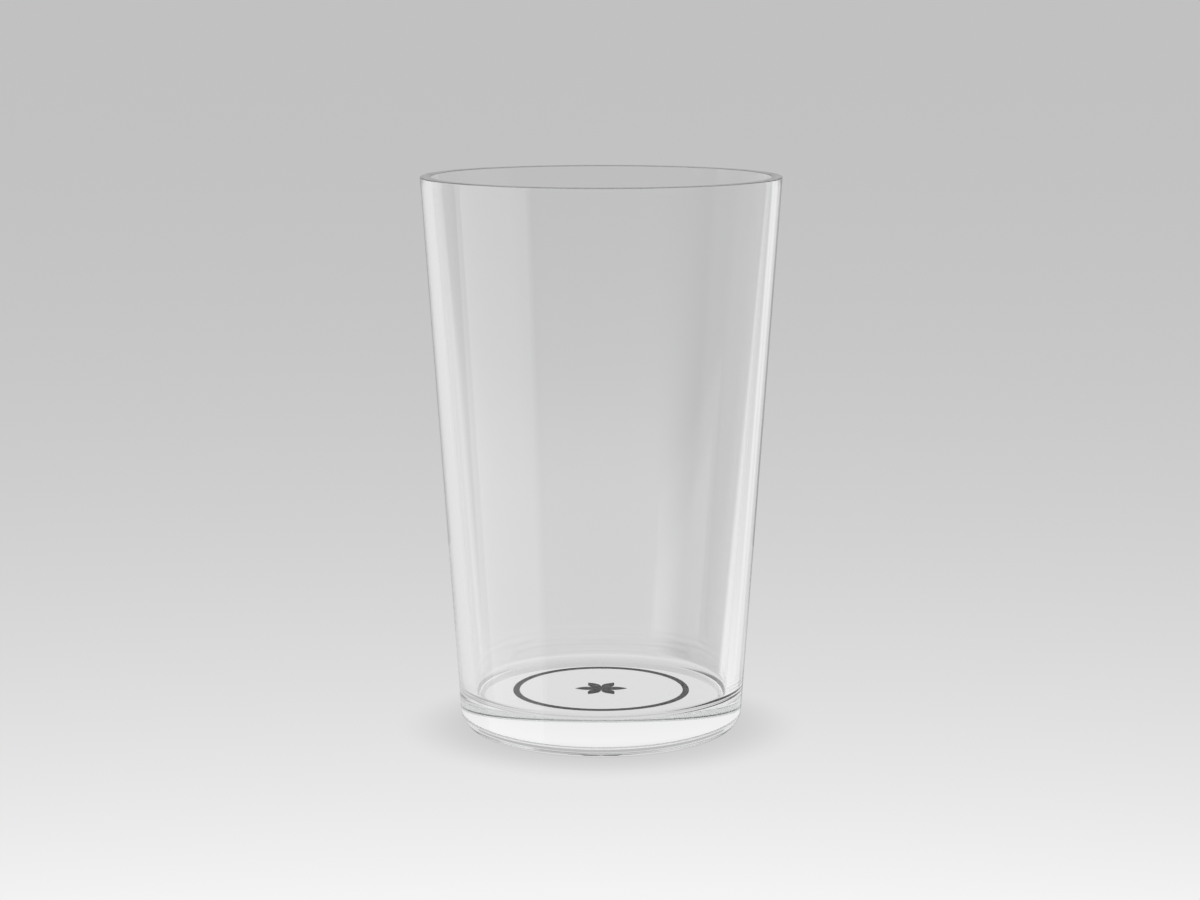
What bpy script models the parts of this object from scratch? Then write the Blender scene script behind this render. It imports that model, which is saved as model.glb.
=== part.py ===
"""A conical pint glass: one moulded glass body and the enamel print fired onto its floor.

Metres, +Z up. The origin is the centre of the foot, on the plane that the glass stands on.
"""

import math

import bmesh
import bpy

# Driving dimensions.
HEIGHT = 0.139
RIM_RADIUS = 0.0446  # outer face of the wall, carried up to the rim plane
BASE_RADIUS = 0.03515  # outer face of the wall, carried down to the table plane
RIM_WALL = 0.0027  # wall thickness at the rim, along the radius
FLOOR_WALL = 0.0040  # wall thickness at the floor, along the radius
FLOOR_HEIGHT = 0.00965  # top of the thick glass floor
LIP_ROUNDING = 0.00025  # polished edges of the lip, leaving a flat between them
FLOOR_FILLET = 0.0025  # inside corner between wall and floor
HEEL_ROUNDING = 0.0053  # outside corner between wall and foot
INK_THICKNESS = 0.0001
INK_GAP = 0.00002  # between the flat floor and the flat underside of the ink
RING_OUTER_RADIUS = 0.0223
RING_WIDTH = 0.0016
ROSETTE_RADIUS = 0.0065
ROSETTE_HUB_RADIUS = 0.0013
PETAL_COUNT = 6
PETAL_WIDTH = 0.0021

# How finely round shapes are cut.
BODY_SEGMENTS = 72
RING_SEGMENTS = 96
ARC_STEP = math.radians(11.0)
PETAL_STEPS = 12
SHARP_ANGLE = math.radians(30.0)
MERGE_DISTANCE = 1e-6

GLASS_COLOUR = (0.95, 0.96, 0.96, 1.0)
GLASS_IOR = 1.51
INK_COLOUR = (0.075, 0.075, 0.077, 1.0)
INK_ROUGHNESS = 0.35


def clear_scene():
    for obj in list(bpy.data.objects):
        bpy.data.objects.remove(obj)


def glass_material():
    """Clear soda-lime glass."""
    material = bpy.data.materials.new("clear_glass")
    material.use_nodes = True
    shader = material.node_tree.nodes["Principled BSDF"]
    shader.inputs["Base Color"].default_value = GLASS_COLOUR
    shader.inputs["Roughness"].default_value = 0.0
    shader.inputs["Metallic"].default_value = 0.0
    shader.inputs["IOR"].default_value = GLASS_IOR
    shader.inputs["Transmission Weight"].default_value = 1.0
    return material


def ink_material():
    """Dark grey ceramic ink, fired to a soft gloss."""
    material = bpy.data.materials.new("enamel_ink")
    material.use_nodes = True
    shader = material.node_tree.nodes["Principled BSDF"]
    shader.inputs["Base Color"].default_value = INK_COLOUR
    shader.inputs["Roughness"].default_value = INK_ROUGHNESS
    shader.inputs["Metallic"].default_value = 0.0
    return material


def corner_arc(before, corner, after, radius):
    """Points of the arc that rounds a corner between two straight lines, in order."""
    arms = []
    for end in (before, after):
        run, rise = end[0] - corner[0], end[1] - corner[1]
        length = math.hypot(run, rise)
        arms.append((run / length, rise / length))
    (ax, az), (bx, bz) = arms
    opening = math.acos(ax * bx + az * bz)
    tangent_run = radius / math.tan(opening / 2)
    centre_run = radius / math.sin(opening / 2)
    middle_x, middle_z = ax + bx, az + bz
    middle_length = math.hypot(middle_x, middle_z)
    centre_x = corner[0] + middle_x / middle_length * centre_run
    centre_z = corner[1] + middle_z / middle_length * centre_run
    start = math.atan2(corner[1] + az * tangent_run - centre_z, corner[0] + ax * tangent_run - centre_x)
    stop = math.atan2(corner[1] + bz * tangent_run - centre_z, corner[0] + bx * tangent_run - centre_x)
    turn = math.remainder(stop - start, 2 * math.pi)
    steps = math.ceil(abs(turn) / ARC_STEP)
    angles = [start + turn * step / steps for step in range(steps + 1)]
    return [(centre_x + radius * math.cos(a), centre_z + radius * math.sin(a)) for a in angles]


def rounded_outline(corners):
    """Points (radius, height) of an outline given as corners (radius, height, rounding). Its ends stay sharp."""
    points = [corners[0][:2]]
    for before, corner, after in zip(corners, corners[1:], corners[2:]):
        points += corner_arc(before[:2], corner[:2], after[:2], corner[2])
    points.append(corners[-1][:2])
    return points


def glass_outline():
    """Half section of the glass: from the middle of its floor up the inside and down the outside."""
    wall_slope = (RIM_RADIUS - BASE_RADIUS) / HEIGHT
    inner_floor_radius = BASE_RADIUS + wall_slope * FLOOR_HEIGHT - FLOOR_WALL
    return rounded_outline(
        [
            (0.0, FLOOR_HEIGHT, 0.0),
            (inner_floor_radius, FLOOR_HEIGHT, FLOOR_FILLET),
            (RIM_RADIUS - RIM_WALL, HEIGHT, LIP_ROUNDING),
            (RIM_RADIUS, HEIGHT, LIP_ROUNDING),
            (BASE_RADIUS, 0.0, HEEL_ROUNDING),
            (0.0, 0.0, 0.0),
        ]
    )


def add_part(name, mesh, material):
    mesh.materials.append(material)
    mesh.shade_smooth()
    mesh.set_sharp_from_angle(angle=SHARP_ANGLE)
    obj = bpy.data.objects.new(name, mesh)
    bpy.context.scene.collection.objects.link(obj)
    return obj


def glass_body(material):
    """The whole glass, turned from its half section."""
    shape = bmesh.new()
    points = [shape.verts.new((radius, 0.0, height)) for radius, height in glass_outline()]
    edges = [shape.edges.new(pair) for pair in zip(points, points[1:])]
    bmesh.ops.spin(
        shape,
        geom=points + edges,
        cent=(0.0, 0.0, 0.0),
        axis=(0.0, 0.0, 1.0),
        angle=2 * math.pi,
        steps=BODY_SEGMENTS,
        use_merge=True,
    )
    bmesh.ops.remove_doubles(shape, verts=shape.verts, dist=MERGE_DISTANCE)
    bmesh.ops.recalc_face_normals(shape, faces=shape.faces)
    mesh = bpy.data.meshes.new("glass_body")
    shape.to_mesh(mesh)
    shape.free()
    return add_part("glass_body", mesh, material)


def ink_layer(name, loops, material):
    """A flat layer of ink on the floor. One loop makes a patch, two loops make the ring between them."""
    bottom = FLOOR_HEIGHT + INK_GAP
    shape = bmesh.new()
    edges = []
    for loop in loops:
        points = [shape.verts.new((x, y, bottom)) for x, y in loop]
        edges += [shape.edges.new(pair) for pair in zip(points, points[1:] + points[:1])]
    if len(loops) == 1:
        faces = bmesh.ops.contextual_create(shape, geom=edges)["faces"]
    else:
        faces = bmesh.ops.bridge_loops(shape, edges=edges)["faces"]
    raised = bmesh.ops.extrude_face_region(shape, geom=faces, use_keep_orig=True)["geom"]
    lifted = [item for item in raised if isinstance(item, bmesh.types.BMVert)]
    bmesh.ops.translate(shape, verts=lifted, vec=(0.0, 0.0, INK_THICKNESS))
    bmesh.ops.recalc_face_normals(shape, faces=shape.faces)
    mesh = bpy.data.meshes.new(name)
    shape.to_mesh(mesh)
    shape.free()
    return add_part(name, mesh, material)


def circle(radius, segments):
    angles = [2 * math.pi * step / segments for step in range(segments)]
    return [(radius * math.cos(a), radius * math.sin(a)) for a in angles]


def rosette_outline():
    """One loop round a small hub and its leaf-shaped petals."""
    outline = []
    for petal in range(PETAL_COUNT):
        direction = 2 * math.pi * petal / PETAL_COUNT
        root = math.sqrt(ROSETTE_HUB_RADIUS**2 - (ROSETTE_HUB_RADIUS / 2) ** 2)
        length = ROSETTE_RADIUS - root
        for side, steps in ((-1, range(PETAL_STEPS)), (1, range(PETAL_STEPS, 0, -1))):
            for step in steps:
                share = step / PETAL_STEPS
                along = root + length * share
                bulge = math.sin(math.pi * share) * PETAL_WIDTH / 2
                across = side * (bulge + ROSETTE_HUB_RADIUS / 2 * (1 - share))
                outline.append(
                    (
                        along * math.cos(direction) - across * math.sin(direction),
                        along * math.sin(direction) + across * math.cos(direction),
                    )
                )
    return outline


def main():
    clear_scene()
    glass = glass_material()
    ink = ink_material()
    glass_body(glass)
    ring_loops = [
        circle(RING_OUTER_RADIUS, RING_SEGMENTS),
        circle(RING_OUTER_RADIUS - RING_WIDTH, RING_SEGMENTS),
    ]
    ink_layer("print_ring", ring_loops, ink)
    ink_layer("print_rosette", [rosette_outline()], ink)


main()
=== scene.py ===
"""The looks of a pint glass: fine turned glass, enamel print, floor, studio and camera.

Metres, +Z up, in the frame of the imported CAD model. The origin is the centre of the foot.
"""

import math

import bmesh
import bpy
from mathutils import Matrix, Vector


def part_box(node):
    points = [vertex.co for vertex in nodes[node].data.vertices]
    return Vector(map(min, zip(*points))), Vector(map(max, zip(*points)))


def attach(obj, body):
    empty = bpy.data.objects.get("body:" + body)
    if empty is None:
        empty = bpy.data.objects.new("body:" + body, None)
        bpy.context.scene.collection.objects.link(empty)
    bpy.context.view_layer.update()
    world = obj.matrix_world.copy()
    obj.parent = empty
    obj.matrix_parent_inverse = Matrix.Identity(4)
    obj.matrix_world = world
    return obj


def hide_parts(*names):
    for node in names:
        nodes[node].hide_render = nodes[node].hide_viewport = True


# Fineness of the turned pieces.
TURN_SEGMENTS = 256
ROW_LENGTH = 0.0025  # longest straight row of faces along an outline
ARC_SPLITS = 4  # rows put in for each row of a CAD arc
SAME_CHORD = 0.02  # two CAD rows this equal in length, as a share, lie on one arc
ON_PLANE = 1e-7
PLACE_DIGITS = 7  # decimals that tell one CAD point from another
MERGE_DISTANCE = 1e-6
SHARP_ANGLE = math.radians(40.0)

# The fired print.
INK_SINK = 0.00001  # it reaches this far into the glass, so that the two are bonded
INK_EDGE = 0.00003  # bevel of its top edge

# Camera, in heights of the glass.
CAMERA_DISTANCE = 5.0176
CAMERA_HEIGHT = 1.3233
CAMERA_ASIDE = -0.0021
CAMERA_PITCH = math.radians(9.229)
CAMERA_LENS = 84.8
CAMERA_NEAR = 0.01  # metres
SENSOR_WIDTH = 36.0

# How often light may turn inside the glass.
GLASS_BOUNCES = 40
TRANSPARENT_BOUNCES = 16

# Glass: colours, and how many tints or waves there are in a metre.
GLASS_CLEAR = (1.0, 1.0, 1.0, 1.0)
GLASS_TINT = (0.992, 0.997, 0.995, 1.0)
GLASS_IOR = 1.51
DEPTH_COLOUR = (0.50, 0.53, 0.52, 1.0)
DEPTH_DENSITY = 3.0
# The lip's colour is a painted shade: a dark line painted into the glass at the rim, seen only from outside.
LIP_SHADE_COLOUR = (0.12, 0.13, 0.125, 1.0)
LIP_START = 0.0003  # below the rim plane, where the lip's colour starts
LIP_FULL = 0.0001  # below the rim plane, from where it is full
TINT_SCALE = 25.0
WAVE_SCALE = 55.0
WAVE_HEIGHT = 0.000003

# Ink: colours, roughness and how many mottles or grains there are in a metre.
INK_DARK = (0.018, 0.018, 0.019, 1.0)
INK_LIGHT = (0.034, 0.034, 0.035, 1.0)
INK_ROUGHNESS = 0.50
INK_ROUGHER = 0.20  # what the grain adds to it at most
INK_SPECULAR = 0.12
MOTTLE_SCALE = 900.0
GRAIN_SCALE = 4000.0
GRAIN_HEIGHT = 0.000004

# Floor, with a wide soft shadow and a narrow one in the gap under the heel. Radii from the axis.
FLOOR_RADIUS = 3.0
FLOOR_SEGMENTS = 128
FLOOR_DROP = 0.00005  # below the foot, so that the two surfaces never coincide
SHADOW_START = 0.030
SHADOW_END = 0.053
SHADOW_DEPTH = 0.20
GAP_START = 0.0300
GAP_END = 0.0320
GAP_DEPTH = 0.15

# Painted light on the floor where the foot touches it: a glowing patch whose brightness depends on the slant
# at which the floor is seen, from 0 straight down to 1 along it, and between the two slants also on the
# side, with painted shade to the right and left and a painted sheen at glancing slants.
CONTACT_FACING_GLOW = 0.68
CONTACT_LEFT_SHADE = 0.45
CONTACT_RIGHT_SHADE = 0.03
CONTACT_PAINTED_SHEEN = 0.93
OFF_FACING = (0.25, 0.30)  # slants over which the facing tone ends
TO_GLANCING = (0.60, 0.72)  # slants over which the glancing tone begins
SIDE_START = 0.012  # from the middle plane to where the side tones start
SIDE_FULL = 0.022

# The sweep behind the glass: brightness by angle below the horizon.
SWEEP_FAR = 0.533
SWEEP_RISE = 0.33
SWEEP_RISE_AT = math.radians(17.3)
SWEEP_POWER = 2.4
SWEEP_MOST = 0.90

# The sky over it, by degrees above the horizon.
SKY = 0.87
SKY_START = 1.0
SKY_FULL = 7.0

# What the glass refracts and reflects, all round it. Azimuth is in degrees clockwise from straight
# behind the glass, as the camera sees it, and elevation in degrees above the horizon:
# name: (azimuth, half width, lowest, highest, softness, brightness)
STUDIO = {
    "backdrop": (0, 50, 0, 11, 4, SWEEP_FAR),
    "under": (0, 190, -95, -29, 6, 0.71),
    "behind": (-8, 12, -29, -10, 4, 0.645),
    "left_fill": (-42, 26, -40, 0, 6, 0.78),
    "right_shade": (11, 7, -30, -1, 3, 0.52),
    "right_strip": (27, 7, -30, -3, 3, 0.92),
    "key_panel": (-103, 29, -45, -4, 1, 1.42),
    "dark_room": (180, 88, -4, 18, 3, 0.22),
    "dark_side": (70, 45, -5, 4, 3, 0.40),
}
HALF_TURN = 180  # degrees


def outline_of(node):
    """(radius, height) points of a turned CAD node, from the axis out over its top side and back below."""
    links = {}
    for edge in node.data.edges:
        ends = [node.data.vertices[index].co for index in edge.vertices]
        if all(abs(end.y) < ON_PLANE and end.x > 0 for end in ends):
            first, second = [(round(end.x, PLACE_DIGITS), round(end.z, PLACE_DIGITS)) for end in ends]
            links.setdefault(first, set()).add(second)
            links.setdefault(second, set()).add(first)
    ends = [point for point, others in links.items() if len(others) == 1]
    point = max(ends, key=lambda end: end[1])
    outline = [(0.0, point[1]), point]
    while links[point] - set(outline):
        point = (links[point] - set(outline)).pop()
        outline.append(point)
    return outline + [(0.0, point[1])]


def circle_through(first, second, third):
    """Centre of the circle through three (radius, height) points."""
    (ax, ay), (bx, by), (cx, cy) = first, second, third
    twice_area = 2 * (ax * (by - cy) + bx * (cy - ay) + cx * (ay - by))
    a, b, c = ax * ax + ay * ay, bx * bx + by * by, cx * cx + cy * cy
    return (
        (a * (by - cy) + b * (cy - ay) + c * (ay - by)) / twice_area,
        (a * (cx - bx) + b * (ax - cx) + c * (bx - ax)) / twice_area,
    )


def arc_points(centre, start, stop):
    """Points from start up to, but not with, stop on the circle round centre."""
    from_angle = math.atan2(start[1] - centre[1], start[0] - centre[0])
    to_angle = math.atan2(stop[1] - centre[1], stop[0] - centre[0])
    turn = math.remainder(to_angle - from_angle, math.tau)
    radius = math.dist(centre, start)
    angles = [from_angle + turn * step / ARC_SPLITS for step in range(ARC_SPLITS)]
    return [(centre[0] + radius * math.cos(a), centre[1] + radius * math.sin(a)) for a in angles]


def refined(outline):
    """The same outline with its arcs made round and its straight stretches cut into short rows."""
    centres = {}
    for index in range(1, len(outline) - 1):
        before, here, after = outline[index - 1 : index + 2]
        chords = math.dist(before, here), math.dist(here, after)
        if abs(chords[0] - chords[1]) < SAME_CHORD * chords[0]:
            centres[index] = circle_through(before, here, after)
    points = []
    for index, (start, stop) in enumerate(zip(outline, outline[1:])):
        centre = centres.get(index, centres.get(index + 1))
        if centre:
            points += arc_points(centre, start, stop)
            continue
        rows = math.ceil(math.dist(start, stop) / ROW_LENGTH)
        for row in range(rows):
            share = row / rows
            points.append(tuple(a + (b - a) * share for a, b in zip(start, stop)))
    return points + [outline[-1]]


def mesh_from(build, name):
    """A new mesh with the shape that a bmesh holds. The bmesh is freed."""
    mesh = bpy.data.meshes.new(name)
    build.to_mesh(mesh)
    build.free()
    return mesh


def turned(name, outline):
    """A closed body of revolution about Z. An outline off the axis closes on itself, as for a ring."""
    build = bmesh.new()
    angles = [math.tau * step / TURN_SEGMENTS for step in range(TURN_SEGMENTS)]
    rings = [
        [build.verts.new((radius * math.cos(a), radius * math.sin(a), height)) for a in angles]
        for radius, height in outline
        if radius > 0
    ]
    heights = [height for radius, height in outline if radius == 0]
    bands = list(zip(rings, rings[1:]))
    if heights:
        poles = [build.verts.new((0.0, 0.0, height)) for height in heights]
    else:
        bands.append((rings[-1], rings[0]))
    for step in range(TURN_SEGMENTS):
        following = (step + 1) % TURN_SEGMENTS
        for near, far in bands:
            build.faces.new((near[step], far[step], far[following], near[following]))
        if heights:
            build.faces.new((poles[0], rings[0][step], rings[0][following]))
            build.faces.new((poles[1], rings[-1][following], rings[-1][step]))
    bmesh.ops.recalc_face_normals(build, faces=build.faces)
    return mesh_from(build, name)


def ring_mesh(node, floor_level):
    """The printed ring, with its top edges bevelled, bonded to the glass."""
    radii = [vertex.co.xy.length for vertex in node.data.vertices]
    low, high = [corner.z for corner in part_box(node.name)]
    inner, outer = min(radii), max(radii)
    bottom = floor_level - INK_SINK
    top = floor_level + high - low
    corners = [
        (outer, bottom),
        (outer, top - INK_EDGE),
        (outer - INK_EDGE, top),
        (inner + INK_EDGE, top),
        (inner, top - INK_EDGE),
        (inner, bottom),
    ]
    return turned("ring_print", corners)


def rosette_mesh(node, floor_level):
    """The printed rosette, lowered on to the glass so that the two are bonded."""
    build = bmesh.new()
    build.from_mesh(node.data)
    bmesh.ops.remove_doubles(build, verts=build.verts, dist=MERGE_DISTANCE)
    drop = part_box(node.name)[0].z - floor_level + INK_SINK
    bmesh.ops.translate(build, verts=build.verts, vec=(0, 0, -drop))
    return mesh_from(build, "rosette_print")


def add_object(name, mesh, material):
    mesh.materials.clear()
    mesh.materials.append(material)
    added = bpy.data.objects.new(name, mesh)
    bpy.context.scene.collection.objects.link(added)
    return added


def add_piece(mesh, material, node):
    """Puts a piece in the scene in place of a CAD node."""
    mesh.shade_smooth()
    mesh.set_sharp_from_angle(angle=SHARP_ANGLE)
    piece = add_object(mesh.name, mesh, material)
    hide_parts(node)
    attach(piece, "root")


def add_disc(name, radius, height, segments, material):
    """A level disc of the stage round the axis."""
    build = bmesh.new()
    bmesh.ops.create_circle(build, cap_ends=True, radius=radius, segments=segments)
    bmesh.ops.translate(build, verts=build.verts, vec=(0, 0, height))
    add_object(name, mesh_from(build, name), material)


def add_node(tree, kind, inputs=(), **settings):
    """A shader node with its settings. Each input is a plain value or another node's output."""
    node = tree.nodes.new("ShaderNode" + kind)
    for name, value in settings.items():
        setattr(node, name, value)
    for name, value in dict(inputs).items():
        if isinstance(value, bpy.types.NodeSocket):
            tree.links.new(value, node.inputs[name])
        else:
            node.inputs[name].default_value = value
    return node


def calc(tree, operation, *values):
    """The output of a math node on plain values or outputs."""
    return add_node(tree, "Math", enumerate(values), operation=operation).outputs[0]


def vector(tree, operation, *values):
    """The vector output of a vector math node on plain values or outputs."""
    return add_node(tree, "VectorMath", enumerate(values), operation=operation).outputs["Vector"]


def dot(tree, first, second):
    return add_node(tree, "VectorMath", {0: first, 1: second}, operation="DOT_PRODUCT").outputs["Value"]


def smooth_step(tree, value, start, stop):
    """0 up to start and 1 from stop, smooth between."""
    inputs = {"Value": value, "From Min": start, "From Max": stop}
    return add_node(tree, "MapRange", inputs, interpolation_type="SMOOTHSTEP").outputs["Result"]


def mixed(tree, share, first, second):
    """first where share is 0 and second where it is 1."""
    return add_node(tree, "Mix", {0: share, 2: first, 3: second}, data_type="FLOAT").outputs[0]


def mixed_colour(tree, share, first, second):
    """The same for colours."""
    return add_node(tree, "Mix", {0: share, 6: first, 7: second}, data_type="RGBA").outputs[2]


def noise(tree, place, scale, detail):
    return add_node(tree, "TexNoise", {"Vector": place, "Scale": scale, "Detail": detail}).outputs["Fac"]


def bumped(tree, height, distance):
    """The normal of a surface that stands proud by height times distance."""
    inputs = {"Height": height, "Strength": 1.0, "Distance": distance}
    return add_node(tree, "Bump", inputs).outputs["Normal"]


def new_material(name):
    """A material, its Principled shader and the object-space position of the point shaded."""
    material = bpy.data.materials.new(name)
    material.use_nodes = True
    tree = material.node_tree
    return material, tree.nodes["Principled BSDF"], add_node(tree, "TexCoord").outputs["Object"]


def empty_material(name):
    """A material whose node tree is empty."""
    material = bpy.data.materials.new(name)
    material.use_nodes = True
    material.node_tree.nodes.clear()
    return material


def glass_material(rim):
    """Clear glass with the faint tint variation and slow surface waves of a pressed tumbler.

    The lip has a painted shade: light that enters it from outside takes on a dark edge colour,
    as if what shows there had come down the whole length of the wall.
    """
    material, shader, place = new_material("clear_glass_fine")
    tree = material.node_tree
    tint = mixed_colour(tree, noise(tree, place, TINT_SCALE, 1.0), GLASS_CLEAR, GLASS_TINT)
    level = add_node(tree, "SeparateXYZ", {0: place}).outputs["Z"]
    near_rim = smooth_step(tree, level, rim - LIP_START, rim - LIP_FULL)
    from_inside = add_node(tree, "NewGeometry").outputs["Backfacing"]
    # Painted shade at the lip, only for light that meets it from outside.
    lip_shade = mixed(tree, from_inside, near_rim, 0.0)
    tree.links.new(mixed_colour(tree, lip_shade, tint, LIP_SHADE_COLOUR), shader.inputs["Base Color"])
    wave = noise(tree, place, WAVE_SCALE, 0.0)
    tree.links.new(bumped(tree, wave, WAVE_HEIGHT), shader.inputs["Normal"])
    shader.inputs["Roughness"].default_value = 0.0
    shader.inputs["IOR"].default_value = GLASS_IOR
    shader.inputs["Transmission Weight"].default_value = 1.0
    depth = add_node(tree, "VolumeAbsorption", {"Color": DEPTH_COLOUR, "Density": DEPTH_DENSITY})
    tree.links.new(depth.outputs["Volume"], tree.nodes["Material Output"].inputs["Volume"])
    return material


def ink_material():
    """Dark ceramic ink with the slight mottle and grain of a fired screen print."""
    material, shader, place = new_material("enamel_ink_fine")
    tree = material.node_tree
    mottle = noise(tree, place, MOTTLE_SCALE, 4.0)
    tree.links.new(mixed_colour(tree, mottle, INK_DARK, INK_LIGHT), shader.inputs["Base Color"])
    grain = noise(tree, place, GRAIN_SCALE, 2.0)
    roughness = calc(tree, "MULTIPLY_ADD", grain, INK_ROUGHER, INK_ROUGHNESS)
    tree.links.new(roughness, shader.inputs["Roughness"])
    tree.links.new(bumped(tree, grain, GRAIN_HEIGHT), shader.inputs["Normal"])
    shader.inputs["Specular IOR Level"].default_value = INK_SPECULAR
    return material


def floor_material():
    """Lets the sweep show through, darkened only where the glass keeps light off the floor."""
    material = empty_material("pale_floor")
    tree = material.node_tree
    place = add_node(tree, "TexCoord").outputs["Object"]
    reach = add_node(tree, "VectorMath", {0: place}, operation="LENGTH").outputs["Value"]
    light = smooth_step(tree, reach, SHADOW_START, SHADOW_END)
    shadow = calc(tree, "MULTIPLY_ADD", light, SHADOW_DEPTH, 1 - SHADOW_DEPTH)
    open_gap = smooth_step(tree, reach, GAP_START, GAP_END)
    gap = calc(tree, "MULTIPLY_ADD", open_gap, GAP_DEPTH, 1 - GAP_DEPTH)
    clear = add_node(tree, "BsdfTransparent", {"Color": calc(tree, "MULTIPLY", shadow, gap)})
    add_node(tree, "OutputMaterial", {"Surface": clear.outputs[0]})
    return material


def contact_glow_material():
    """The floor where the foot touches it, glowing with painted light: no air is left between them, so the
    glass shows it bright.
    """
    material = empty_material("painted_light_floor")
    tree = material.node_tree
    slant = add_node(tree, "LayerWeight").outputs["Facing"]
    place = add_node(tree, "TexCoord").outputs["Object"]
    aside = add_node(tree, "SeparateXYZ", {0: place}).outputs["X"]
    right = smooth_step(tree, aside, SIDE_START, SIDE_FULL)
    left = smooth_step(tree, aside, -SIDE_START, -SIDE_FULL)
    # Painted shade on the sides of the patch, darkest to the right.
    side_shade = mixed(tree, right, mixed(tree, left, CONTACT_FACING_GLOW, CONTACT_LEFT_SHADE), CONTACT_RIGHT_SHADE)
    tone = mixed(tree, smooth_step(tree, slant, *OFF_FACING), CONTACT_FACING_GLOW, side_shade)
    # Painted sheen at glancing slants.
    tone = mixed(tree, smooth_step(tree, slant, *TO_GLANCING), tone, CONTACT_PAINTED_SHEEN)
    glow = add_node(tree, "Emission", {"Color": tone})
    add_node(tree, "OutputMaterial", {"Surface": glow.outputs[0]})
    return material


def add_studio():
    """A round studio that turns with the camera, as if the glass stood on a turntable."""
    world = bpy.data.worlds.new("studio")
    bpy.context.scene.world = world
    world.use_nodes = True
    tree = world.node_tree
    tree.nodes.clear()
    way = add_node(tree, "TexCoord").outputs["Generated"]
    spaces = {"vector_type": "VECTOR", "convert_from": "CAMERA", "convert_to": "WORLD"}
    ahead = add_node(tree, "VectorTransform", {0: (0, 0, 1)}, **spaces).outputs[0]
    flat_ahead = vector(tree, "MULTIPLY", ahead, (1, 1, 0))
    aside = vector(tree, "CROSS_PRODUCT", flat_ahead, (0, 0, 1))
    azimuth = calc(tree, "DEGREES", calc(tree, "ARCTAN2", dot(tree, way, aside), dot(tree, way, flat_ahead)))
    rise = calc(tree, "ARCSINE", add_node(tree, "SeparateXYZ", {0: way}).outputs["Z"])
    elevation = calc(tree, "DEGREES", rise)
    below = calc(tree, "MAXIMUM", calc(tree, "DIVIDE", rise, -SWEEP_RISE_AT), 0.0)
    brighter = calc(tree, "MULTIPLY_ADD", calc(tree, "POWER", below, SWEEP_POWER), SWEEP_RISE, SWEEP_FAR)
    sweep = calc(tree, "MINIMUM", brighter, SWEEP_MOST)
    light = mixed(tree, smooth_step(tree, elevation, SKY_START, SKY_FULL), sweep, SKY)
    for centre, half, lowest, highest, soft, brightness in STUDIO.values():
        turn = calc(tree, "WRAP", calc(tree, "SUBTRACT", azimuth, centre), HALF_TURN, -HALF_TURN)
        in_width = smooth_step(tree, calc(tree, "ABSOLUTE", turn), half + soft / 2, half - soft / 2)
        above = smooth_step(tree, elevation, lowest - soft / 2, lowest + soft / 2)
        under = smooth_step(tree, elevation, highest + soft / 2, highest - soft / 2)
        share = calc(tree, "MULTIPLY", in_width, calc(tree, "MULTIPLY", above, under))
        light = mixed(tree, share, light, brightness)
    seen = add_node(tree, "LightPath").outputs["Is Camera Ray"]
    background = add_node(tree, "Background", {"Color": mixed(tree, seen, light, sweep)})
    add_node(tree, "OutputWorld", {"Surface": background.outputs[0]})


def add_camera(height):
    camera = bpy.data.objects.new("camera", bpy.data.cameras.new("camera"))
    bpy.context.scene.collection.objects.link(camera)
    camera.data.lens = CAMERA_LENS
    camera.data.sensor_width = SENSOR_WIDTH
    camera.data.clip_start = CAMERA_NEAR
    camera.location = (CAMERA_ASIDE * height, -CAMERA_DISTANCE * height, CAMERA_HEIGHT * height)
    camera.rotation_euler = (math.pi / 2 - CAMERA_PITCH, 0, 0)
    bpy.context.scene.camera = camera


def set_light_paths():
    """Plain tones, and enough bounces for light to find its way out of thick glass."""
    bpy.context.scene.view_settings.view_transform = "Standard"
    cycles = bpy.context.scene.cycles
    cycles.max_bounces = GLASS_BOUNCES
    cycles.glossy_bounces = GLASS_BOUNCES
    cycles.transmission_bounces = GLASS_BOUNCES
    cycles.transparent_max_bounces = TRANSPARENT_BOUNCES


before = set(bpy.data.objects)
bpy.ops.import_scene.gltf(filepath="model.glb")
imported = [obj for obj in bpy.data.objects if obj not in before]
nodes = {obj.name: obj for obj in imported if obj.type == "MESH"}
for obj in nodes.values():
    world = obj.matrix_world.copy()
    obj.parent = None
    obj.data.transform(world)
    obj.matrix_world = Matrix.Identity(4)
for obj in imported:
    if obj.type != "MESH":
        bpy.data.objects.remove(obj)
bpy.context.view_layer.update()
glass_outline = outline_of(nodes["glass_body"])
floor_level = glass_outline[0][1]
just_above_foot = glass_outline[-3]  # the first point up the heel: the foot's edge and middle come after it
rim_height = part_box("glass_body")[1].z

glass = glass_material(rim_height)
ink = ink_material()
add_piece(turned("glass_wall_and_foot", refined(glass_outline)), glass, "glass_body")
add_piece(ring_mesh(nodes["print_ring"], floor_level), ink, "print_ring")
add_piece(rosette_mesh(nodes["print_rosette"], floor_level), ink, "print_rosette")
add_disc("floor", FLOOR_RADIUS, -FLOOR_DROP, FLOOR_SEGMENTS, floor_material())
# A glowing patch of painted light under the foot.
add_disc("glowing_contact_patch", *just_above_foot, TURN_SEGMENTS, contact_glow_material())
add_studio()
add_camera(rim_height)
set_light_paths()
